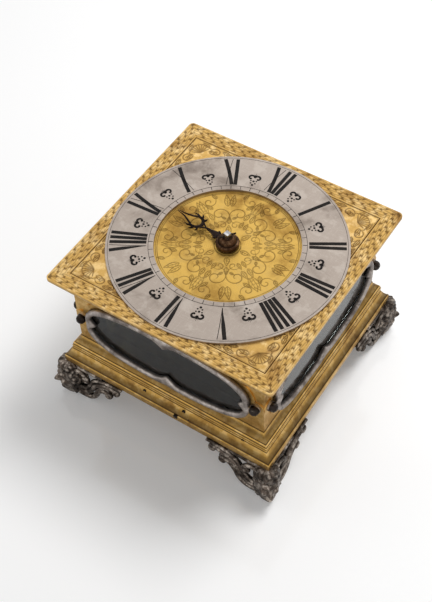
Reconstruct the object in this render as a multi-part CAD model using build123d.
# Square table clock that lies flat: dial on top, glazed window in each wall, hinged moulded base
# on four mask feet, and a fusee movement with verge and balance hung under the dial plate.
# Millimetres. Origin at the centre of the footprint on the table. Dial up +Z, XII towards +Y,
# front window towards -Y.
from build123d import *
import os
from math import cos, sin, pi, radians, degrees, atan2, hypot

os.makedirs("parts", exist_ok=True)

# Heights of the levels
foot_height = 26.3
base_moulding_height = 11.5
cove_height = 8.6
wall_height = 48.6
dial_plate_thickness = 2.2
chapter_ring_thickness = 1.3

# Plan sizes
wall_half = 56.2
dial_plate_overhang = 8.8
dial_plate_half = wall_half + dial_plate_overhang
dial_plate_corner_radius = 2.5
dial_plate_bevel = 0.6
dial_centre_hole_radius = 3.2
wall_thickness = 1.6
chapter_ring_margin = 3.8
chapter_ring_outer_radius = dial_plate_half - chapter_ring_margin
chapter_ring_width = 24.1
chapter_ring_inner_radius = chapter_ring_outer_radius - chapter_ring_width

# Moulding profile
cove_projection = 3.7
ridge_top_half = wall_half + cove_projection
ridge_batter = 0.5
ridge_bottom_half = ridge_top_half + ridge_batter
ridge_height = 2.9
ogee_set_back = 0.2
ogee_top_half = ridge_bottom_half - ogee_set_back
ogee_middle_swell = 1.8
ogee_middle_half = ogee_top_half + ogee_middle_swell
ogee_lower_swell = 1.4
ogee_bottom_half = ogee_middle_half + ogee_lower_swell
fillet_step = 0.7
fillet_half = ogee_bottom_half + fillet_step
fillet_height = 4.5
moulding_wall_margin = 1.3
moulding_inner_half = wall_half + moulding_wall_margin
ledge_width = 2.5
ledge_half = moulding_inner_half - ledge_width
ledge_thickness = 0.8
base_plate_thickness = 1.6
seat_clearance = 0.1

# Windows
window_centre_above_wall_foot = 18.6
frame_end_margin = 7.2
frame_half_length = wall_half - frame_end_margin
frame_half_height = 19.6
frame_band = 3.1
frame_thickness = 2.9
surround_margin = 2.6
surround_thickness = 0.6
outline_power = 2.9
outline_points = 32
glass_cover = 1.0
glass_thickness = 1.3
glass_clearance = 0.1
cusp_height = 3.4
cusp_half_width = 7.0
side_cusp_length = 2.6
side_cusp_half_width = 3.0
screw_beyond_frame = 3.0
screw_offset = frame_half_length + screw_beyond_frame
screw_rise = 0.5
screw_head_radius = 2.6
screw_cup_radius = 2.8
screw_cup_height = 0.8
screw_head_height = 3.6
screw_shank_radius = 1.2
screw_shank_inside = 2.2
screw_hole_clearance = 0.05
lobe_radius = 4.4

# Feet, drawn for a moulding of foot_drawn_half and moved with the real one
foot_drawn_half = 64.1
mask_reach = 97.6
mask_half_width = 6.6
cheek_half_width = 10.2
wing_thickness = 3.0
wing_face_half = 65.2
foot_boss_margin = 14.1
foot_boss_place = fillet_half - foot_boss_margin
foot_boss_radius = 4.0
foot_screw_radius = 1.2
foot_screw_head_radius = 2.4
foot_screw_head_height = 1.5
foot_screw_length = 7.0

# Hinge at the back of the base
hinge_pin_radius = 0.8
hinge_pin_clearance = 0.05
hinge_barrel_radius = 1.7
hinge_offset = 2.0
hinge_half_length = 18.0
hinge_middle_half = 6.0
hinge_gap = 0.15
hinge_pocket_clearance = 0.25

# Catch at the front of the base
catch_x = 8.0
catch_width = 2.2
catch_bar_height = 2.0
catch_bar_below_split = 8.4
catch_travel = 1.5
catch_slot_clearance = 0.1
catch_tongue_length = 0.5
catch_plate_width = 9.0
catch_plate_thickness = 1.0
catch_stand_off = 0.3
spring_thickness = 0.5

# Movement plates and pillars
plate_wall_margin = 7.2
plate_half = wall_half - plate_wall_margin
plate_corner = 6.0
plate_thickness = 2.0
dial_gap = 6.0
pillar_length = 35.0
pillar_place = 43.0
pillar_radius = 3.0
pillar_waist_radius = 1.6
pillar_tenon_radius = 1.5
pillar_tenon_length = 4.2
pin_radius = 0.5
pin_length = 7.0
post_place = 36.0
post_radius = 2.2
pivot_radius = 0.7
pivot_clearance = 0.05
end_shake = 0.1

# Going train, tooth counts and modules
great_teeth = 64
second_pinion_leaves = 8
second_teeth = 60
contrate_pinion_leaves = 8
contrate_teeth = 48
crown_pinion_leaves = 6
crown_teeth = 15
report_teeth = 10
hour_teeth = 60
great_module = 0.70
second_module = 0.60
contrate_radius = 12.5
motion_module = 0.90
wheel_thickness = 1.2
great_wheel_thickness = 1.6
pinion_length = 3.4
arbor_radius = 1.2

# Places of the train in plan, as angles of each step from one arbor to the next
fusee_angle = 216.87
second_angle = -8.0
contrate_angle = 30.0
crown_angle = 105.0
barrel_x = -27.0
barrel_y = 25.5
barrel_radius = 19.0
barrel_wall = 1.0
barrel_height = 23.0
barrel_arbor_radius = 3.0
spring_turns = 6
spring_strip = 0.5
fusee_low_radius = 8.0
fusee_high_radius = 16.5
fusee_grooves = 11
fusee_height = 21.0
fusee_arbor_radius = 2.0
winding_square = 2.8
winding_square_length = 9.0
setup_ratchet_teeth = 20
setup_ratchet_radius = 7.0

# Escapement
crown_wheel_radius = 10.0
crown_wheel_rim = 1.6
crown_wheel_web_place = 18.6
crown_wheel_tip_place = 22.5
verge_place = 25.0
verge_radius = 0.7
pallet_reach = 2.3
pallet_height = 2.4
pallet_thickness = 0.5
balance_radius = 21.0
balance_rim = 2.6
balance_thickness = 1.4
balance_below_plate = 4.0
cock_gap = 1.8
cock_thickness = 1.4
cock_foot_reach = 27.0
cock_foot_angle = 30.0
cock_foot_radius = 4.0
cock_table_radius = 12.0

# Hand
hand_angle = 171.8
hand_length = 33.3
hand_thickness = 0.9
hand_above_ring = 1.0
hand_eye_radius = 5.4
collet_radius = 6.0
collet_sleeve_radius = 3.0
collet_dome_height = 3.5
hour_arbor_radius = 2.0
hour_arbor_square = 2.8
hour_arbor_above_dome = 2.4

# Levels worked out from the heights
split_z = foot_height + base_moulding_height
wall_foot_z = split_z + cove_height
plate_under_z = wall_foot_z + wall_height
dial_z = plate_under_z + dial_plate_thickness
ring_top_z = dial_z + chapter_ring_thickness
window_z = wall_foot_z + window_centre_above_wall_foot
wall_inner = wall_half - wall_thickness
pillar_plate_top = plate_under_z - dial_gap
pillar_plate_under = pillar_plate_top - plate_thickness
back_plate_top = pillar_plate_under - pillar_length
back_plate_under = back_plate_top - plate_thickness
hinge_y = ridge_bottom_half + hinge_offset


def save(shape, name):
    """Write one sub-part to its own file."""
    export_step(shape, "parts/" + name + ".step")


def disc(radius, bottom, top, x=0.0, y=0.0):
    """Upright cylinder between two heights."""
    return Pos(x, y, bottom) * Cylinder(
        radius, top - bottom, align=(Align.CENTER, Align.CENTER, Align.MIN)
    )


def block(x0, x1, y0, y1, z0, z1):
    """Box between two corners."""
    return Pos(x0, y0, z0) * Box(
        x1 - x0, y1 - y0, z1 - z0, align=(Align.MIN, Align.MIN, Align.MIN)
    )


def square_block(half, bottom, top):
    """Square slab about the middle of the clock."""
    return block(-half, half, -half, half, bottom, top)


def turned(profile, x=0.0, y=0.0, z=0.0):
    """Turn a closed outline of (radius, height) points about an upright axis."""
    face = Plane.XZ * make_face(Polyline(profile, close=True))
    return Pos(x, y, z) * revolve(face, Axis.Z)


def mitred_frame(half_profile, inner_half, bottom, top):
    """Carry a moulding profile round a square with mitred corners, and hollow it."""
    prism = extrude(Plane.XZ * make_face(half_profile), amount=2 * fillet_half, both=True)
    prism = prism + mirror(prism, Plane.YZ)
    solid = prism & prism.rotate(Axis.Z, 90)
    return solid - square_block(inner_half, bottom - 1, top + 1)


def superellipse(a, b, power=outline_power, count=outline_points):
    """Closed smooth outline |x/a|^n + |y/b|^n = 1, as a spline through points on it."""
    points = []
    for i in range(count):
        angle = 2 * pi * (i + 0.5) / count
        c = cos(angle)
        s = sin(angle)
        x = a * abs(c) ** (2 / power) * (1 if c > 0 else -1)
        y = b * abs(s) ** (2 / power) * (1 if s > 0 else -1)
        points.append((x, y))
    return make_face(Spline(points, periodic=True))


def on_wall(shape, index):
    """Turn a piece made for the front wall to wall 0 front, 1 right, 2 back, 3 left."""
    return shape.rotate(Axis.Z, 90 * index)


def upright(face, y_outer, thickness, z=window_z):
    """Extrude a face drawn as (x, height) backwards from a plane in front of the clock."""
    return extrude(Plane(origin=(0, y_outer, z), x_dir=(1, 0, 0), z_dir=(0, 1, 0)) *
                   mirror(face, Plane.XZ), amount=thickness)


def toothed_wheel(teeth, module, tip, root, share, thickness, point_share=0.35):
    """Flat wheel or pinion: radial flanks below the pitch circle, pointed tips above it."""
    pitch = teeth * module / 2
    step = 2 * pi / teeth
    half = step * share / 2
    outline = []
    rings = (
        (pitch - root * module, -half),
        (pitch, -half),
        (pitch + tip * module, -half * point_share),
        (pitch + tip * module, half * point_share),
        (pitch, half),
        (pitch - root * module, half),
    )
    for i in range(teeth):
        for radius, offset in rings:
            angle = i * step + offset
            outline.append((radius * cos(angle), radius * sin(angle)))
    return extrude(make_face(Polyline(outline, close=True)), amount=thickness)


def crossed_wheel(teeth, module, bore, thickness, arms=4):
    """Wheel with its field cut out to leave straight arms."""
    pitch = teeth * module / 2
    rim_inner = pitch - 4.0 * module - 1.0
    hub = bore + 2.2
    wheel = toothed_wheel(teeth, module, 1.1, 1.4, 0.44, thickness)
    wheel = wheel - Cylinder(rim_inner, 4 * thickness)
    for i in range(arms // 2):
        arm = Box(2 * rim_inner + module, 2.4, thickness,
                  align=(Align.CENTER, Align.CENTER, Align.MIN))
        wheel = wheel + arm.rotate(Axis.Z, 180 * i / (arms // 2) + 45)
    wheel = wheel + disc(hub, 0, thickness)
    return wheel - Cylinder(bore, 4 * thickness)


def step_from(start, radius, angle):
    """Plan point at a distance and an angle in degrees from another."""
    return (start[0] + radius * cos(radians(angle)), start[1] + radius * sin(radians(angle)))


# Plan places of the arbors
fusee_at = step_from((0, 0), motion_module * (report_teeth + hour_teeth) / 2, fusee_angle)
second_at = step_from(fusee_at, great_module * (great_teeth + second_pinion_leaves) / 2, second_angle)
contrate_at = step_from(
    second_at, second_module * (second_teeth + contrate_pinion_leaves) / 2, contrate_angle
)
verge_at = step_from(contrate_at, verge_place, crown_angle)
cock_foot_at = step_from(verge_at, cock_foot_reach, cock_foot_angle)
barrel_at = (barrel_x, barrel_y)
crown_module = 2 * contrate_radius / contrate_teeth
crown_pinion_radius = crown_pinion_leaves * crown_module / 2
crown_z = back_plate_top + 12.5


def meshed(driver_at, driven_at, driver_teeth, driven_teeth):
    """Turn for the driven wheel so that a space of it faces a tooth of the driver at angle 0."""
    line = degrees(atan2(driven_at[1] - driver_at[1], driven_at[0] - driver_at[0]))
    driver_pitch = 360 / driver_teeth
    driven_pitch = 360 / driven_teeth
    off = line / driver_pitch - round(line / driver_pitch)
    return line + 180 + driven_pitch / 2 + off * driven_pitch


# Base moulding, with a ledge inside for the base plate
foot_z = foot_height
fillet_top = foot_z + fillet_height
ogee_rise = split_z - fillet_top
base_outline = (
    Line((0, foot_z), (fillet_half - 0.2, foot_z))
    + Line((fillet_half - 0.2, foot_z), (fillet_half, fillet_top))
    + Line((fillet_half, fillet_top), (ogee_bottom_half, fillet_top + 0.4))
    + ThreePointArc(
        (ogee_bottom_half, fillet_top + 0.4),
        (ogee_middle_half + 0.35, fillet_top + 0.28 * ogee_rise),
        (ogee_middle_half, fillet_top + 0.5 * ogee_rise),
    )
    + ThreePointArc(
        (ogee_middle_half, fillet_top + 0.5 * ogee_rise),
        (ogee_middle_half - 0.45, fillet_top + 0.78 * ogee_rise),
        (ogee_top_half, split_z - 0.3),
    )
    + Line((ogee_top_half, split_z - 0.3), (ogee_top_half, split_z))
    + Line((ogee_top_half, split_z), (0, split_z))
    + Line((0, split_z), (0, foot_z))
)
ledge_top = foot_z + ledge_thickness
base_moulding = mitred_frame(base_outline, ledge_half, foot_z, split_z)
base_moulding = base_moulding - square_block(moulding_inner_half, ledge_top, split_z + 1)

# Hinge pocket in the back of the moulding
pocket_radius = hinge_barrel_radius + hinge_pocket_clearance
pocket_half = hinge_half_length + hinge_gap


def hinge_cylinder(radius, x0, x1):
    """Cylinder along the hinge axis between two x places."""
    cylinder = Cylinder(radius, x1 - x0).rotate(Axis.Y, 90)
    return Pos((x0 + x1) / 2, hinge_y, split_z) * cylinder


leaf_low = split_z - 3.4
leaf_inner = ogee_top_half - 0.6
base_moulding = base_moulding - hinge_cylinder(pocket_radius, -pocket_half, pocket_half)
for side in (-1, 1):
    x_in = side * (hinge_middle_half + hinge_gap)
    x_out = side * hinge_half_length
    x0 = min(x_in, x_out)
    x1 = max(x_in, x_out)
    base_moulding = base_moulding - block(x0, x1, leaf_inner, hinge_y + 3, leaf_low, split_z + 1)

# Catch slot through the front of the moulding
bar_top = split_z - catch_bar_below_split + catch_bar_height
bar_bottom = split_z - catch_bar_below_split
slot = block(
    catch_x - catch_width / 2 - catch_slot_clearance,
    catch_x + catch_width / 2 + catch_slot_clearance,
    -fillet_half - 2,
    -moulding_inner_half + 1,
    bar_bottom - catch_slot_clearance,
    bar_top + catch_slot_clearance,
)
base_moulding = base_moulding - slot
save(base_moulding, "base_moulding")

# Base plate
plate_edge = moulding_inner_half - seat_clearance
base_plate = square_block(plate_edge, ledge_top, ledge_top + base_plate_thickness)
for sx in (-1, 1):
    for sy in (-1, 1):
        base_plate = base_plate - disc(
            foot_screw_radius + screw_hole_clearance,
            ledge_top - 1,
            ledge_top + base_plate_thickness + 1,
            sx * foot_boss_place,
            sy * foot_boss_place,
        )
save(base_plate, "base_plate")
base_plate_top = ledge_top + base_plate_thickness

# Hinge leaves and pin
base_hinge_leaf = None
for side in (-1, 1):
    x_in = side * (hinge_middle_half + hinge_gap)
    x_out = side * hinge_half_length
    x0 = min(x_in, x_out)
    x1 = max(x_in, x_out)
    knuckle = hinge_cylinder(hinge_barrel_radius, x0, x1)
    knuckle = knuckle + block(x0, x1, leaf_inner, hinge_y, leaf_low, split_z - 0.1)
    knuckle = knuckle - hinge_cylinder(hinge_pin_radius, x0 - 1, x1 + 1)
    base_hinge_leaf = knuckle if base_hinge_leaf is None else base_hinge_leaf + knuckle
save(base_hinge_leaf, "base_hinge_leaf")
save(hinge_cylinder(hinge_pin_radius, -hinge_half_length, hinge_half_length), "hinge_pin")

cove_outline = (
    Line((0, split_z), (ridge_bottom_half, split_z))
    + Line((ridge_bottom_half, split_z), (ridge_top_half, split_z + ridge_height))
    + Line((ridge_top_half, split_z + ridge_height), (ridge_top_half - 0.4, split_z + ridge_height + 0.3))
    + ThreePointArc(
        (ridge_top_half - 0.4, split_z + ridge_height + 0.3),
        (wall_half + 0.75, split_z + ridge_height + 1.9),
        (wall_half, wall_foot_z),
    )
    + Line((wall_half, wall_foot_z), (0, wall_foot_z))
    + Line((0, wall_foot_z), (0, split_z))
)
cove_moulding = mitred_frame(cove_outline, wall_inner, split_z, wall_foot_z)
save(cove_moulding, "cove_moulding")

leaf_half = hinge_middle_half - hinge_gap
case_leaf = hinge_cylinder(hinge_barrel_radius, -leaf_half, leaf_half)
case_leaf = case_leaf + block(
    -leaf_half, leaf_half, ridge_top_half - 1, hinge_y, split_z + 0.1, split_z + ridge_height - 0.3
)
case_leaf = case_leaf - cove_moulding
case_leaf = case_leaf - hinge_cylinder(hinge_pin_radius + hinge_pin_clearance, -9, 9)
save(case_leaf, "case_hinge_leaf")

# Walls with window openings, raised surrounds and screw holes
opening_half_length = frame_half_length - frame_band + glass_cover
opening_half_height = frame_half_height - frame_band + glass_cover
case_walls = square_block(wall_half, wall_foot_z, plate_under_z)
case_walls = case_walls - square_block(wall_inner, wall_foot_z - 1, plate_under_z + 1)
surround_face = superellipse(frame_half_length + surround_margin, frame_half_height + surround_margin)
for side in (-1, 1):
    surround_face = surround_face + Pos(side * screw_offset, screw_rise) * Circle(lobe_radius)
surround_face = surround_face & Pos(0, window_centre_above_wall_foot) * Rectangle(
    2 * wall_half, 4 * window_centre_above_wall_foot
)
opening_face = superellipse(opening_half_length, opening_half_height)
surround = upright(surround_face, -wall_half - surround_thickness, surround_thickness)
opening = upright(opening_face, -wall_half - surround_thickness - 1, wall_thickness + 4)
screw_hole = upright(Circle(screw_shank_radius + screw_hole_clearance), -wall_half - 3, 8)
for index in range(4):
    case_walls = case_walls + on_wall(surround, index)
for index in range(4):
    case_walls = case_walls - on_wall(opening, index)
    for side in (-1, 1):
        case_walls = case_walls - on_wall(Pos(side * screw_offset, 0, screw_rise) * screw_hole, index)
save(case_walls, "case_walls")

# Window frames with bracket cusps, glasses, screws and cups
aperture_a = frame_half_length - frame_band
aperture_b = frame_half_height - frame_band


def bracket(half_width, height, depth):
    """Pointed cusp with hollow flanks, standing on y = 0 and pointing to +y."""
    flank_x = half_width * 0.36
    flank_y = height * 0.28
    outline = (
        Line((-half_width, 0), (-half_width, -depth))
        + Line((-half_width, -depth), (half_width, -depth))
        + Line((half_width, -depth), (half_width, 0))
        + ThreePointArc((half_width, 0), (flank_x, flank_y), (0, height))
        + ThreePointArc((0, height), (-flank_x, flank_y), (-half_width, 0))
    )
    return make_face(outline)


frame_face = superellipse(frame_half_length, frame_half_height) - superellipse(aperture_a, aperture_b)
long_cusp = bracket(cusp_half_width, cusp_height, frame_band / 2)
end_cusp = bracket(side_cusp_half_width, side_cusp_length, frame_band / 2)
frame_face = frame_face + Pos(0, -aperture_b) * long_cusp
frame_face = frame_face + Pos(0, aperture_b) * Rot(0, 0, 180) * long_cusp
frame_face = frame_face + Pos(aperture_a, 0) * Rot(0, 0, 90) * end_cusp
frame_face = frame_face + Pos(-aperture_a, 0) * Rot(0, 0, -90) * end_cusp
frame_outer_y = -wall_half - surround_thickness - frame_thickness
window_frame = upright(frame_face, frame_outer_y, frame_thickness)
glass_face = superellipse(opening_half_length - glass_clearance, opening_half_height - glass_clearance)
window_glass = upright(glass_face, -wall_half - surround_thickness, glass_thickness)
names = ("front", "right", "back", "left")
for index in range(4):
    save(on_wall(window_frame, index), "window_frame_" + names[index])
    save(on_wall(window_glass, index), "window_glass_" + names[index])

head_inner = -wall_half - surround_thickness - screw_cup_height
screw_profile = (
    (0, 0),
    (screw_head_radius, 0),
    (screw_head_radius, 1.4),
    (screw_head_radius * 0.86, 2.5),
    (screw_head_radius * 0.5, 3.3),
    (0, screw_head_height),
)
screw = turned(screw_profile) + disc(screw_shank_radius, -wall_thickness - surround_thickness
                                     - screw_cup_height - screw_shank_inside, 0)
screw = screw.rotate(Axis.X, 90)
cup = disc(screw_cup_radius, 0, screw_cup_height) - disc(screw_shank_radius, -1, screw_cup_height + 1)
cup = cup.rotate(Axis.X, 90)
screws = []
cups = []
for index in range(4):
    for side in (-1, 1):
        place = Pos(side * screw_offset, head_inner, window_z + screw_rise)
        screws.append(on_wall(place * screw, index))
        place = Pos(side * screw_offset, -wall_half - surround_thickness, window_z + screw_rise)
        cups.append(on_wall(place * cup, index))
save(Compound(children=screws), "window_screws")
save(Compound(children=cups), "window_cups")

# Dial plate and chapter ring
dial_plate = square_block(dial_plate_half, plate_under_z, dial_z)
dial_plate = fillet(dial_plate.edges().filter_by(Axis.Z), dial_plate_corner_radius)
dial_plate = chamfer(dial_plate.faces().sort_by(Axis.Z)[-1].edges(), dial_plate_bevel)
dial_plate = dial_plate - disc(dial_centre_hole_radius, plate_under_z - 1, dial_z + 1)
save(dial_plate, "dial_plate")
chapter_ring = disc(chapter_ring_outer_radius, dial_z, ring_top_z)
chapter_ring = chapter_ring - disc(chapter_ring_inner_radius, dial_z - 1, ring_top_z + 1)
save(chapter_ring, "chapter_ring")

# Feet: a mask on each corner with a feathered wing along each face
corner_scale = 2 ** 0.5
mask_profile = (
    Line((80.5, 0), (89.2, 0))
    + ThreePointArc((89.2, 0), (91.2, 1.2), (92.6, 3.6))
    + ThreePointArc((92.6, 3.6), (95.2, 5.2), (96.4, 7.6))
    + ThreePointArc((96.4, 7.6), (mask_reach, 10.6), (96.2, 13.0))
    + ThreePointArc((96.2, 13.0), (92.7, 16.5), (92.6, 21.4))
    + ThreePointArc((92.6, 21.4), (95.6, 23.4), (94.4, foot_height))
    + Line((94.4, foot_height), (76, foot_height))
    + ThreePointArc((76, foot_height), (79.5, 18), (81.5, 9))
    + Line((81.5, 9), (80.5, 0))
)
snout_section = extrude(Plane.XZ * make_face(mask_profile), amount=3.2, both=True)
jowl_profile = (
    Line((78.5, 0), (86.5, 0))
    + ThreePointArc((86.5, 0), (90.8, 7.0), (90.2, 14.0))
    + ThreePointArc((90.2, 14.0), (89.6, 20.0), (90.6, foot_height))
    + Line((90.6, foot_height), (76, foot_height))
    + Line((76, foot_height), (78.5, 0))
)
jowl_section = extrude(Plane.XZ * make_face(jowl_profile), amount=mask_half_width, both=True)
cheek_section = block(78.5, 85.0, -cheek_half_width, cheek_half_width, 0, 5.0)
cheek_section = chamfer(cheek_section.edges().filter_by(Axis.Z).sort_by(Axis.X)[-2:], 4.0)
mask = snout_section + jowl_section + cheek_section
mask = mask.rotate(Axis.Z, -45)

wing_outline = (
    Line((foot_drawn_half - 0.1, foot_height), (foot_drawn_half - 0.1, 20.0))
    + ThreePointArc((foot_drawn_half - 0.1, 20.0), (59.5, 13.0), (60.0, 4.0))
    + Line((60.0, 4.0), (56.0, 0.4))
    + ThreePointArc((56.0, 0.4), (49.5, 1.4), (45.0, 5.6))
    + ThreePointArc((45.0, 5.6), (42.8, 10.5), (39.2, 15.0))
    + ThreePointArc((39.2, 15.0), (38.6, 11.6), (36.0, 10.6))
    + ThreePointArc((36.0, 10.6), (33.0, 14.6), (33.6, 19.6))
    + ThreePointArc((33.6, 19.6), (31.0, 18.5), (28.4, 19.4))
    + ThreePointArc((28.4, 19.4), (26.6, 22.6), (26.4, foot_height))
    + Line((26.4, foot_height), (foot_drawn_half - 0.1, foot_height))
)
wing_gap = (
    ThreePointArc((57.0, 6.0), (51.5, 7.0), (47.8, 12.0))
    + ThreePointArc((47.8, 12.0), (47.6, 18.5), (52.0, 21.0))
    + ThreePointArc((52.0, 21.0), (56.5, 19.5), (57.5, 15.0))
    + Line((57.5, 15.0), (57.0, 6.0))
)
wing_face = make_face(wing_outline) - make_face(wing_gap)
wing = upright(wing_face, -wing_face_half, wing_thickness, z=0)
wing_rib = upright(
    make_face(
        ThreePointArc((47.0, 9.5), (43.6, 17.0), (36.5, 24.6))
        + Line((36.5, 24.6), (40.0, 25.4))
        + ThreePointArc((40.0, 25.4), (46.0, 18.4), (47.6, 11.5))
        + Line((47.6, 11.5), (47.0, 9.5))
    ),
    -wing_face_half - 0.9,
    1.2,
    z=0,
)
wing = wing + wing_rib
other_wing = mirror(wing, Plane.XZ.rotated((0, 0, 0))).rotate(Axis.Z, -90)
flange = block(70.7 - foot_boss_radius, 90.6, -foot_boss_radius, foot_boss_radius, foot_height - 2.3,
               foot_height).rotate(Axis.Z, -45)
boss_height = ledge_top - 2.9
foot_shift = fillet_half - foot_drawn_half
foot = Pos(foot_shift, -foot_shift, 0) * (mask + wing + other_wing + flange)
foot = foot + disc(foot_boss_radius, boss_height, ledge_top, foot_boss_place, -foot_boss_place)
foot = foot - disc(foot_screw_radius, boss_height - 1, ledge_top + 1, foot_boss_place, -foot_boss_place)
foot_names = ("foot_front_right", "foot_back_right", "foot_back_left", "foot_front_left")
foot_screws = []
for index in range(4):
    save(foot.rotate(Axis.Z, 90 * index), foot_names[index])
    screw_shape = disc(
        foot_screw_head_radius,
        base_plate_top,
        base_plate_top + foot_screw_head_height,
        foot_boss_place,
        -foot_boss_place,
    )
    screw_shape = screw_shape + disc(
        foot_screw_radius,
        base_plate_top + foot_screw_head_height - foot_screw_length,
        base_plate_top + 0.1,
        foot_boss_place,
        -foot_boss_place,
    )
    foot_screws.append(screw_shape.rotate(Axis.Z, 90 * index))
save(Compound(children=foot_screws), "foot_screws")

# Release catch, its spring and the keeper on the case
catch_y_inner = -moulding_inner_half + 1.6
catch_x0 = catch_x - catch_width / 2
catch_x1 = catch_x + catch_width / 2
release_catch = block(catch_x0, catch_x1, -fillet_half - catch_tongue_length, catch_y_inner,
                      bar_bottom, bar_top)
catch_plate_top = split_z - catch_stand_off
release_catch = release_catch + block(
    catch_x - catch_plate_width / 2,
    catch_x + catch_plate_width / 2,
    catch_y_inner,
    catch_y_inner + catch_plate_thickness,
    bar_bottom,
    catch_plate_top,
)
save(release_catch, "release_catch")
keeper_bottom = split_z + catch_stand_off
catch_keeper = block(
    catch_x - catch_plate_width / 2,
    catch_x + catch_plate_width / 2,
    -wall_inner,
    -wall_inner + 2.4,
    keeper_bottom,
    keeper_bottom + 2.6,
)
save(catch_keeper, "catch_keeper")
spring_y = catch_y_inner + catch_plate_thickness + catch_travel + catch_stand_off
catch_spring = block(catch_x - 3, catch_x + 3, spring_y, spring_y + spring_thickness,
                     base_plate_top, bar_top)
catch_spring = catch_spring + block(catch_x - 3, catch_x + 3, spring_y, spring_y + 7,
                                    base_plate_top, base_plate_top + spring_thickness)
save(catch_spring, "catch_spring")

# Movement plates with their pivot holes


def movement_plate(bottom):
    """Square plate with cut corners."""
    plate = square_block(plate_half, bottom, bottom + plate_thickness)
    return chamfer(plate.edges().filter_by(Axis.Z), plate_corner)


corners = [(sx, sy) for sx in (-1, 1) for sy in (-1, 1)]
hour_pivot_radius = 1.5
hour_flange_radius = 4.0
pillar_plate = movement_plate(pillar_plate_under)
back_plate = movement_plate(back_plate_under)
for sx, sy in corners:
    pillar_plate = pillar_plate - disc(
        pillar_tenon_radius, pillar_plate_under - 1, pillar_plate_top + 1,
        sx * pillar_place, sy * pillar_place)
    back_plate = back_plate - disc(
        pillar_tenon_radius, back_plate_under - 1, back_plate_top + 1,
        sx * pillar_place, sy * pillar_place)
    pillar_plate = pillar_plate - disc(
        pillar_tenon_radius, pillar_plate_under - 1, pillar_plate_top + 1,
        sx * post_place, sy * post_place)


def pivot_hole(at, radius, bottom, top):
    """Hole with the running clearance of a pivot."""
    return disc(radius + pivot_clearance, bottom - 1, top + 1, at[0], at[1])


for at in (second_at, contrate_at):
    pillar_plate = pillar_plate - pivot_hole(at, pivot_radius, pillar_plate_under, pillar_plate_top)
    back_plate = back_plate - pivot_hole(at, pivot_radius, back_plate_under, back_plate_top)
for at, radius in ((fusee_at, fusee_arbor_radius), (barrel_at, barrel_arbor_radius - 1)):
    pillar_plate = pillar_plate - pivot_hole(at, radius, pillar_plate_under, pillar_plate_top)
    back_plate = back_plate - pivot_hole(at, radius, back_plate_under, back_plate_top)
pillar_plate = pillar_plate - pivot_hole((0, 0), hour_pivot_radius, pillar_plate_under, pillar_plate_top)
verge_hole_radius = 2.4
back_plate = back_plate - disc(
    verge_hole_radius, back_plate_under - 1, back_plate_top + 1, verge_at[0], verge_at[1]
)
save(pillar_plate, "pillar_plate")
save(back_plate, "back_plate")

# Pillars, taper pins and the posts under the dial
pillars = []
pillar_pins = []
dial_posts = []
pillar_profile = (
    (0, -plate_thickness - pillar_tenon_length + 2.0),
    (pillar_tenon_radius, -plate_thickness - pillar_tenon_length + 2.0),
    (pillar_tenon_radius, 0),
    (pillar_radius, 0),
    (pillar_radius, 2.0),
    (pillar_waist_radius, 4.0),
    (pillar_waist_radius, pillar_length / 2 - 5.0),
    (pillar_radius, pillar_length / 2),
    (pillar_waist_radius, pillar_length / 2 + 5.0),
    (pillar_waist_radius, pillar_length - 4.0),
    (pillar_radius, pillar_length - 2.0),
    (pillar_radius, pillar_length),
    (pillar_tenon_radius, pillar_length),
    (pillar_tenon_radius, pillar_length + plate_thickness),
    (0, pillar_length + plate_thickness),
)
pin_z = back_plate_under - pin_radius - 0.05
for sx, sy in corners:
    at = (sx * pillar_place, sy * pillar_place)
    pillar = turned(pillar_profile, at[0], at[1], back_plate_top)
    pin = Cylinder(pin_radius, pin_length).rotate(Axis.Y, 90).rotate(Axis.Z, 45 * sx * sy)
    pin = Pos(at[0], at[1], pin_z) * pin
    pillars.append(pillar - pin)
    pillar_pins.append(pin)
    post_at = (sx * post_place, sy * post_place)
    post = disc(post_radius, pillar_plate_top, plate_under_z, post_at[0], post_at[1])
    post = post + disc(pillar_tenon_radius, pillar_plate_under, pillar_plate_top, post_at[0], post_at[1])
    dial_posts.append(post)
save(Compound(children=pillars), "pillars")
save(Compound(children=pillar_pins), "pillar_pins")
save(Compound(children=dial_posts), "dial_posts")

# Fusee, great wheel, winding square and pinion of report
great_wheel_z = pillar_plate_under - 8.2
second_wheel_z = back_plate_top + 2.0
fusee_bottom = great_wheel_z - 0.3 - fusee_height
fusee_arbor = disc(fusee_arbor_radius, back_plate_under - 0.5, pillar_plate_top + 3.2, *fusee_at)
square_top = back_plate_under - 0.5
fusee_arbor = fusee_arbor + block(
    fusee_at[0] - winding_square / 2,
    fusee_at[0] + winding_square / 2,
    fusee_at[1] - winding_square / 2,
    fusee_at[1] + winding_square / 2,
    square_top - winding_square_length,
    square_top + 0.1,
)
fusee_arbor = fusee_arbor + disc(
    fusee_arbor_radius + 1.4, back_plate_top + end_shake, fusee_bottom, *fusee_at
)
fusee_arbor = fusee_arbor + disc(
    fusee_arbor_radius + 1.4,
    great_wheel_z + great_wheel_thickness,
    pillar_plate_under - end_shake,
    *fusee_at
)
save(fusee_arbor, "fusee_arbor")

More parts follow.
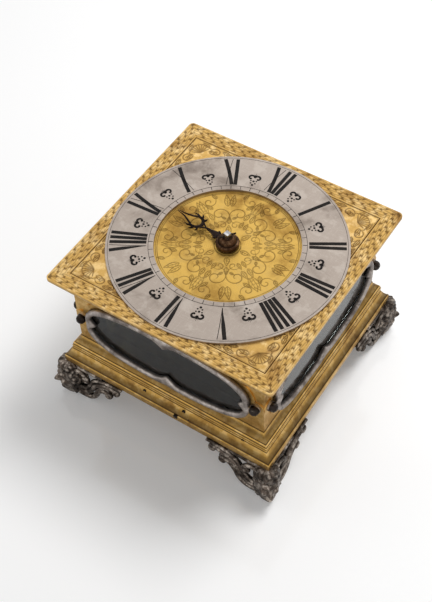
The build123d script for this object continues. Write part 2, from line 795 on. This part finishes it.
groove_pitch = (fusee_height - 2.0) / fusee_grooves
fusee_points = [(fusee_arbor_radius, 0), (fusee_low_radius + 0.8, 0), (fusee_low_radius + 0.8, 1.0)]
for i in range(fusee_grooves):
    share = (i + 0.5) / fusee_grooves
    crest = fusee_low_radius + (fusee_high_radius - fusee_low_radius) * share ** 1.25
    height = 1.0 + i * groove_pitch
    fusee_points.append((crest - 0.7, height + 0.25 * groove_pitch))
    fusee_points.append((crest - 0.7, height + 0.65 * groove_pitch))
    fusee_points.append((crest + 0.2, height + groove_pitch))
fusee_points.append((fusee_high_radius + 1.2, fusee_height - 1.0))
fusee_points.append((fusee_high_radius + 1.2, fusee_height))
fusee_points.append((fusee_arbor_radius, fusee_height))
fusee = turned(fusee_points, fusee_at[0], fusee_at[1], fusee_bottom)
save(fusee, "fusee")

great_wheel = crossed_wheel(great_teeth, great_module, fusee_arbor_radius, great_wheel_thickness)
great_wheel = Pos(fusee_at[0], fusee_at[1], great_wheel_z) * great_wheel
save(great_wheel, "great_wheel")

hour_wheel_z = pillar_plate_top + 1.3
report_pinion = toothed_wheel(report_teeth, motion_module, 0.8, 1.4, 0.36, wheel_thickness + 0.4)
report_pinion = report_pinion - Cylinder(fusee_arbor_radius, 9)
report_pinion = Pos(fusee_at[0], fusee_at[1], hour_wheel_z - 0.2) * report_pinion
save(report_pinion, "report_pinion")

# Second wheel and its pinion
second_turn = meshed(fusee_at, second_at, great_teeth, second_pinion_leaves)
pinion_z = great_wheel_z - 0.9
second_arbor = disc(arbor_radius, back_plate_top + end_shake, pillar_plate_under - end_shake)
second_arbor = second_arbor + disc(pivot_radius, back_plate_under + 0.1, pillar_plate_top - 0.1)
second_pinion = toothed_wheel(second_pinion_leaves, great_module, 0.7, 1.5, 0.33, pinion_length)
second_arbor = second_arbor + Pos(0, 0, pinion_z) * second_pinion.rotate(Axis.Z, second_turn)
save(Pos(second_at[0], second_at[1]) * second_arbor, "second_arbor")
second_wheel = crossed_wheel(second_teeth, second_module, arbor_radius, wheel_thickness)
second_wheel = second_wheel.rotate(Axis.Z, second_turn)
save(Pos(second_at[0], second_at[1], second_wheel_z) * second_wheel, "second_wheel")

# Contrate wheel: flat wheel with its teeth standing down from the rim
line_angle = degrees(atan2(contrate_at[1] - second_at[1], contrate_at[0] - second_at[0]))
second_step = 360 / second_teeth
offset = (line_angle - second_turn) / second_step
offset = offset - round(offset)
contrate_pinion_turn = line_angle + 180 + (0.5 + offset) * 360 / contrate_pinion_leaves
contrate_arbor = disc(arbor_radius, back_plate_top + end_shake, pillar_plate_under - end_shake)
contrate_arbor = contrate_arbor + disc(pivot_radius, back_plate_under + 0.1, pillar_plate_top - 0.1)
contrate_pinion = toothed_wheel(contrate_pinion_leaves, second_module, 0.7, 1.5, 0.33, pinion_length)
contrate_pinion_z = second_wheel_z + wheel_thickness / 2 - pinion_length / 2
contrate_arbor = contrate_arbor + Pos(0, 0, contrate_pinion_z) * contrate_pinion.rotate(
    Axis.Z, contrate_pinion_turn
)
save(Pos(contrate_at[0], contrate_at[1]) * contrate_arbor, "contrate_arbor")

contrate_rim = 1.2
contrate_tip_z = crown_z + 1.21
contrate_root_z = crown_z + 2.3
contrate_web_z = crown_z + 5.8
contrate_outer = contrate_radius + contrate_rim / 2
contrate_inner = contrate_radius - contrate_rim / 2
contrate_wheel = disc(contrate_outer, contrate_tip_z, contrate_web_z + wheel_thickness)
contrate_wheel = contrate_wheel - disc(contrate_inner, contrate_tip_z - 1, contrate_web_z)
contrate_wheel = contrate_wheel - disc(arbor_radius, contrate_tip_z - 1, contrate_web_z + 9)
slot_width = 2 * pi * contrate_radius / contrate_teeth * 0.55
tooth_slots = PolarLocations(contrate_radius, contrate_teeth, start_angle=crown_angle) * Box(
    2.4, slot_width, 2 * (contrate_root_z - contrate_tip_z)
)
contrate_wheel = contrate_wheel - [Pos(0, 0, contrate_tip_z) * one for one in tooth_slots]
windows_cut = PolarLocations(6.6, 4, start_angle=45) * Cylinder(3.4, 40)
contrate_wheel = contrate_wheel - [Pos(0, 0, contrate_web_z) * one for one in windows_cut]
save(Pos(contrate_at[0], contrate_at[1]) * contrate_wheel, "contrate_wheel")

# Crown wheel and its arbor, made along +Z and laid down towards the verge
lay_down = Plane(
    origin=(contrate_at[0], contrate_at[1], crown_z),
    x_dir=(0, 0, 1),
    z_dir=(cos(radians(crown_angle)), sin(radians(crown_angle)), 0),
)
crown_pinion_place = contrate_radius - pinion_length / 2
nose_inner = crown_wheel_tip_place + 0.3
nose_outer = nose_inner + 1.1
crown_arbor = disc(0.8, 10.2, nose_inner - 0.1)
crown_arbor = crown_arbor + disc(0.4, 7.3, nose_outer - 0.1)
crown_pinion = toothed_wheel(crown_pinion_leaves, crown_module, 0.6, 1.2, 0.27, pinion_length)
crown_arbor = crown_arbor + Pos(0, 0, crown_pinion_place) * crown_pinion
crown_arbor = lay_down.location * crown_arbor
save(crown_arbor, "crown_arbor")

crown_inner = crown_wheel_radius - crown_wheel_rim
crown_wheel = disc(crown_wheel_radius, crown_wheel_web_place, crown_wheel_tip_place)
crown_wheel = crown_wheel - disc(crown_inner, crown_wheel_web_place + 1.0, crown_wheel_tip_place + 1)
tooth_step = 2 * pi * crown_wheel_radius / crown_teeth
tooth_depth = 2.6
saw = make_face(
    Polyline(
        (-tooth_step / 2 + 0.5, 0.5),
        (-tooth_step / 2 + 0.5, 0.0),
        (tooth_step / 2 - 0.2, -tooth_depth),
        (tooth_step / 2 - 0.2, 0.5),
        close=True,
    )
)
saw_cut = extrude(Plane.YZ * saw, amount=3.0, both=True)
saw_cuts = PolarLocations(crown_wheel_radius - crown_wheel_rim / 2, crown_teeth) * saw_cut
crown_wheel = crown_wheel - [Pos(0, 0, crown_wheel_tip_place) * one for one in saw_cuts]
web_holes = PolarLocations(5.0, 4) * Cylinder(2.4, 3)
crown_wheel = crown_wheel - [Pos(0, 0, crown_wheel_web_place) * one for one in web_holes]
crown_wheel = crown_wheel - disc(0.8, 0, 40)
save(lay_down.location * crown_wheel, "crown_wheel")

# Potence: holds the front pivot of the crown wheel and the top of the verge
potence_w = 13.0
verge_top_z = crown_z + 13.0


def along_crown(u0, u1, w0, w1, z0, z1):
    """Box in the crown wheel's own directions: u towards the verge, w across, heights as drawn."""
    box = block(u0, u1, w0, w1, z0, z1).rotate(Axis.Z, crown_angle)
    return Pos(contrate_at[0], contrate_at[1]) * box


potence = along_crown(nose_inner - 1.4, verge_place + 2.2, potence_w - 2, potence_w + 2,
                      back_plate_top, verge_top_z + 2.0)
potence = potence + along_crown(nose_inner, nose_outer, -1.6, potence_w, crown_z - 1.8, crown_z + 1.8)
potence = potence + along_crown(verge_place - 2.0, verge_place + 2.0, -2.0, potence_w,
                                verge_top_z, verge_top_z + 2.0)
potence = potence - lay_down.location * disc(0.45, nose_inner - 1, nose_outer + 0.5)
potence = potence - disc(0.45, verge_top_z - 1, verge_top_z + 3, *verge_at)
save(potence, "potence")
counter_potence = along_crown(7.2, 9.8, -1.8, 1.8, back_plate_top, crown_z + 1.8)
counter_potence = counter_potence - lay_down.location * disc(0.45, 6, 11)
save(counter_potence, "counter_potence")

# Verge, balance and its cock
balance_top = back_plate_under - balance_below_plate
balance_bottom = balance_top - balance_thickness
cock_top = balance_bottom - cock_gap
cock_bottom = cock_top - cock_thickness
pallet_mean = crown_wheel_radius - crown_wheel_rim / 2
verge = disc(verge_radius, cock_top + 0.1, verge_top_z - 0.1)
verge = verge + disc(0.4, cock_bottom + 0.1, verge_top_z + 1.9)
for height, angle in ((pallet_mean, 50), (-pallet_mean, -50)):
    flag = block(0, pallet_reach, -pallet_thickness / 2, pallet_thickness / 2,
                 crown_z + height - pallet_height / 2, crown_z + height + pallet_height / 2)
    verge = verge + flag.rotate(Axis.Z, crown_angle + 180 + angle)
save(Pos(verge_at[0], verge_at[1]) * verge, "verge")

balance = disc(balance_radius, balance_bottom, balance_top)
balance = balance - disc(balance_radius - balance_rim, balance_bottom - 1, balance_top + 1)
for i in range(3):
    arm = block(0, balance_radius - balance_rim / 2, -1.1, 1.1, balance_bottom, balance_top)
    balance = balance + arm.rotate(Axis.Z, 120 * i)
balance = balance + disc(2.6, balance_bottom, balance_top)
balance = balance - disc(verge_radius, balance_bottom - 1, balance_top + 1)
save(Pos(verge_at[0], verge_at[1]) * balance, "balance")

cock_table = Circle(cock_table_radius) - PolarLocations(cock_table_radius * 0.58, 6) * Circle(2.4)
cock_table = cock_table + Rot(0, 0, cock_foot_angle) * Pos(cock_foot_reach / 2 + 3, 0) * Rectangle(
    cock_foot_reach - 6, 6.0
)
balance_cock = Pos(verge_at[0], verge_at[1], cock_bottom) * extrude(cock_table, amount=cock_thickness)
balance_cock = balance_cock + disc(cock_foot_radius, cock_bottom, back_plate_under, *cock_foot_at)
balance_cock = balance_cock - disc(0.45, cock_bottom - 1, cock_top + 1, *verge_at)
balance_cock = balance_cock - disc(1.3, cock_bottom - 1, back_plate_under + 1, *cock_foot_at)
save(balance_cock, "balance_cock")
cock_screw = disc(2.6, cock_bottom - 1.4, cock_bottom, *cock_foot_at)
cock_screw = cock_screw + disc(1.3, cock_bottom - 0.1, back_plate_under, *cock_foot_at)
save(cock_screw, "cock_screw")

# Mainspring barrel with its cover, arbor and set-up ratchet
barrel_bottom = back_plate_top + 4.0
barrel_top = barrel_bottom + barrel_height
inner_radius = barrel_radius - barrel_wall
arbor_bore = barrel_arbor_radius + pivot_clearance
barrel = disc(barrel_radius, barrel_bottom, barrel_top)
barrel = barrel - disc(inner_radius, barrel_bottom + barrel_wall, barrel_top + 1)
barrel = barrel - disc(arbor_bore, barrel_bottom - 1, barrel_top + 1)
save(Pos(barrel_at[0], barrel_at[1]) * barrel, "barrel")
cover = disc(inner_radius, barrel_top - 1.2, barrel_top) - disc(arbor_bore, barrel_top - 2, barrel_top + 1)
save(Pos(barrel_at[0], barrel_at[1]) * cover, "barrel_cover")
barrel_arbor = disc(barrel_arbor_radius, back_plate_top, pillar_plate_under)
barrel_arbor = barrel_arbor + disc(barrel_arbor_radius - 1, back_plate_under - 4.6, pillar_plate_top)
save(Pos(barrel_at[0], barrel_at[1]) * barrel_arbor, "barrel_arbor")


def spiral_points(shift):
    """Points along the mainspring's spiral, from the arbor out to the barrel wall."""
    start = barrel_arbor_radius + 1.0
    end = inner_radius - spring_strip
    points = []
    for i in range(spring_turns * 16 + 1):
        share = i / (spring_turns * 16)
        radius = start + (end - start) * share + shift
        angle = 2 * pi * spring_turns * share
        points.append((radius * cos(angle), radius * sin(angle)))
    return points


strip = spiral_points(0) + spiral_points(spring_strip)[::-1]
mainspring = extrude(make_face(Polyline(strip, close=True)), amount=barrel_height - 4.0)
mainspring = Pos(barrel_at[0], barrel_at[1], barrel_bottom + barrel_wall + 0.6) * mainspring
save(mainspring, "mainspring")

ratchet_top = back_plate_under - 0.8
ratchet_points = []
for i in range(setup_ratchet_teeth):
    angle = 2 * pi * i / setup_ratchet_teeth
    ratchet_points.append((setup_ratchet_radius * cos(angle), setup_ratchet_radius * sin(angle)))
    ratchet_points.append(
        ((setup_ratchet_radius - 1.2) * cos(angle + 0.05), (setup_ratchet_radius - 1.2) * sin(angle + 0.05))
    )
ratchet = extrude(make_face(Polyline(ratchet_points, close=True)), amount=1.6)
ratchet = ratchet - Cylinder(barrel_arbor_radius - 1, 9)
save(Pos(barrel_at[0], barrel_at[1], ratchet_top - 1.6) * ratchet, "setup_ratchet")
click = make_face(Polyline((8.3, -1.2), (7.3, 0.4), (8.6, 2.2), (12.0, 9.0), (15.0, 8.0), (10.6, -0.4),
                           close=True))
click = extrude(click, amount=1.6) + Pos(13.0, 7.5, 0) * disc(2.0, 0, 2.4)
save(Pos(barrel_at[0], barrel_at[1], back_plate_under - 2.4) * click, "setup_click")

# Hour wheel, hour arbor, hand and collet
hand_z = ring_top_z + hand_above_ring
dome_z = hand_z + hand_thickness
dome_top = dome_z + collet_dome_height
arbor_top = dome_top + hour_arbor_above_dome
report_turn = meshed(fusee_at, (0, 0), report_teeth, hour_teeth)
hour_wheel = crossed_wheel(hour_teeth, motion_module, hour_arbor_radius + pivot_clearance, wheel_thickness)
hour_wheel = Pos(0, 0, hour_wheel_z) * hour_wheel.rotate(Axis.Z, report_turn)
save(hour_wheel, "hour_wheel")
hour_arbor = disc(hour_pivot_radius, pillar_plate_under, pillar_plate_top + 0.3)
hour_arbor = hour_arbor + disc(hour_flange_radius, pillar_plate_top + end_shake, hour_wheel_z - 0.02)
hour_arbor = hour_arbor + disc(hour_arbor_radius, hour_wheel_z - 0.1, dial_z + 0.8)
square = block(-hour_arbor_square / 2, hour_arbor_square / 2, -hour_arbor_square / 2,
               hour_arbor_square / 2, dial_z + 0.7, arbor_top)
square = square.rotate(Axis.Z, hand_angle)
hour_arbor = hour_arbor + square
hand_collet = turned(
    (
        (0, dial_z + 0.8),
        (collet_sleeve_radius + 0.6, dial_z + 0.8),
        (collet_sleeve_radius + 0.6, hand_z),
        (collet_sleeve_radius, hand_z),
        (collet_sleeve_radius, dome_z),
        (collet_radius, dome_z),
        (collet_radius, dome_z + 0.6),
        (collet_radius * 0.94, dome_z + 1.4),
        (collet_radius * 0.76, dome_z + 2.4),
        (collet_radius * 0.48, dome_z + 3.2),
        (collet_radius * 0.36, dome_top),
        (0, dome_top),
    )
)
hand_collet = hand_collet - square
save(hand_collet, "hand_collet")
taper_pin_radius = 0.45
hand_pin = Cylinder(taper_pin_radius, 9.0).rotate(Axis.X, 90).rotate(Axis.Z, hand_angle - 30)
hand_pin = Pos(0, 0, dome_top + taper_pin_radius + 0.2) * hand_pin
save(hour_arbor - hand_pin, "hour_arbor")
save(hand_pin, "hand_pin")


def leaf(root_x, root_y, tip_x, tip_y, bulge):
    """Pointed leaf between two points, with a bowed back and a hollow front."""
    back_x = (root_x + tip_x) / 2 - bulge
    front_x = (root_x + tip_x) / 2 + bulge * 0.4
    middle_y = (root_y + tip_y) / 2
    outline = (
        ThreePointArc((root_x - 1.0, root_y), (back_x, middle_y), (tip_x, tip_y))
        + ThreePointArc((tip_x, tip_y), (front_x, middle_y), (root_x + 1.0, root_y))
        + Line((root_x + 1.0, root_y), (root_x - 1.0, root_y))
    )
    return make_face(outline)


point_start = 23.2
hand_face = Circle(hand_eye_radius)
hand_face = hand_face + Pos(8.2, 0) * Ellipse(4.2, 2.5)
hand_face = hand_face + Pos(14.6, 0) * Rectangle(8.0, 1.5)
hand_face = hand_face + Pos(13.4, 0) * Ellipse(1.2, 1.7)
hand_face = hand_face + Pos(20.4, 0) * (Circle(3.7) - Circle(2.2))
for side in (1, -1):
    one_leaf = leaf(18.2, 2.0, 16.2, 5.6, 0.6)
    two_leaf = leaf(21.4, 2.6, 23.4, 6.2, 0.6)
    if side < 0:
        one_leaf = mirror(one_leaf, Plane.XZ)
        two_leaf = mirror(two_leaf, Plane.XZ)
    hand_face = hand_face + one_leaf + two_leaf
hand_face = hand_face + make_face(
    Polyline((point_start, -1.5), (27.0, -0.7), (hand_length, -0.2), (hand_length, 0.2), (27.0, 0.7),
             (point_start, 1.5), close=True)
)
hand_face = hand_face - Pos(9.0, 0) * Circle(1.1)
hand_face = hand_face - Circle(collet_sleeve_radius)
hour_hand = Pos(0, 0, hand_z) * extrude(hand_face, amount=hand_thickness)
save(hour_hand.rotate(Axis.Z, hand_angle), "hour_hand")
